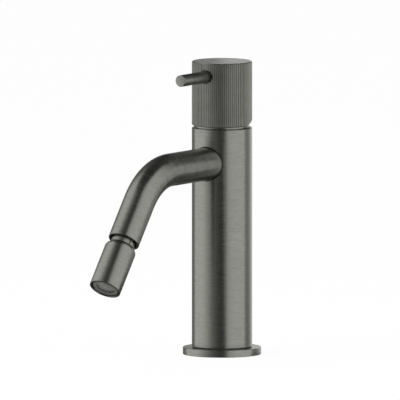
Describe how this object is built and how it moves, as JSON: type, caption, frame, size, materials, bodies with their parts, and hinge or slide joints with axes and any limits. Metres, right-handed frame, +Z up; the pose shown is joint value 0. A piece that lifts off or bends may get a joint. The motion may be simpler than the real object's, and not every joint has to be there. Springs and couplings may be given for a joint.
{
  "type": "bidet mixer",
  "caption": "Tall deck-mounted single-lever bidet mixer with a fluted cap handle, a pin lever, a bent tube spout and a swivelling aerator nozzle.",
  "frame": {"origin": "centre of the foot on the deck plane, midway between the two stud holes", "axes": "+Z up the column, -Y along the spout and the lever towards the user, +X to the right seen from the user's side"},
  "size_m": [0.052, 0.1767, 0.195],
  "materials": {
    "brushed_gunmetal": "round-brushed stainless steel with a warm grey-green gunmetal coat",
    "fluted_gunmetal": "fine straight flutes with a warm grey-green gunmetal coat",
    "turned_gunmetal": "turned pin with a faced end and a gunmetal coat",
    "brass": "plain machined brass",
    "steel": "plain steel",
    "black_rubber": "black rubber",
    "housing_plastic": "white moulded plastic",
    "slider_plastic": "dark low-friction plastic",
    "ceramic_disc": "lapped alumina",
    "aerator_plastic": "dark grey moulded plastic"
  },
  "bodies": {
    "mixer_body": {"base_ring": "brushed_gunmetal", "base_gasket": "black_rubber", "foot_plug": "brass", "column_seal": "black_rubber", "column_sleeve": "brushed_gunmetal", "valve_block": "brass", "block_rings": "black_rubber", "cartridge_base": "housing_plastic", "inlet_seals": "black_rubber", "fixed_disc": "ceramic_disc", "cartridge_housing": "housing_plastic", "cartridge_seal": "black_rubber", "cartridge_nut": "brass", "dome_ring": "brushed_gunmetal", "spout_tube": "brushed_gunmetal", "spout_spigot": "brass", "spout_seal": "black_rubber", "spout_end_insert": "brass", "ball_stem": "brass"},
    "rotor": {"cartridge_rotor": "slider_plastic", "pivot_pin": "steel"},
    "disc_slider": {"moving_disc": "ceramic_disc", "disc_carrier": "slider_plastic"},
    "handle": {"spindle": "steel", "spindle_adapter": "brass", "adapter_screw": "steel", "handle_set_screw": "steel", "handle_shell": "fluted_gunmetal", "lever_pin": "turned_gunmetal"},
    "inner_ring": {"inner_seat_ring": "slider_plastic"},
    "outer_ring": {"outer_seat_ring": "slider_plastic"},
    "nozzle": {"swivel_neck": "brushed_gunmetal", "nozzle_casing": "brushed_gunmetal", "aerator_washer": "black_rubber", "aerator_housing": "aerator_plastic", "flow_plate": "aerator_plastic", "aerator_screen": "aerator_plastic"}
  },
  "joints": [
    {"name": "temperature_turn", "type": "hinge", "parent": "mixer_body", "child": "rotor", "pos_m": [0, 0, 0.15], "axis": [0, 0, 1], "range_deg": [-45, 45]},
    {"name": "flow_tilt", "type": "hinge", "parent": "rotor", "child": "handle", "pos_m": [0, 0, 0.15], "axis": [-1, 0, 0], "range_deg": [0, 20]},
    {"name": "disc_slide", "type": "slide", "parent": "rotor", "child": "disc_slider", "axis": [0, -1, 0], "range_m": [0, 0.003]},
    {"name": "nozzle_pitch", "type": "hinge", "parent": "mixer_body", "child": "inner_ring", "pos_m": [0, -0.11971, 0.08534], "axis": [1, 0, 0], "range_deg": [-12, 12]},
    {"name": "nozzle_yaw", "type": "hinge", "parent": "inner_ring", "child": "outer_ring", "pos_m": [0, -0.11971, 0.08534], "axis": [0, -0.7934, 0.6088], "range_deg": [-12, 12]},
    {"name": "nozzle_spin", "type": "hinge", "parent": "outer_ring", "child": "nozzle", "pos_m": [0, -0.11971, 0.08534], "axis": [0, -0.6088, -0.7934], "continuous": true}
  ],
  "couplings": [
    {"joint": "disc_slide", "follows": "flow_tilt", "m_per_rad": 0.0085}
  ]
}
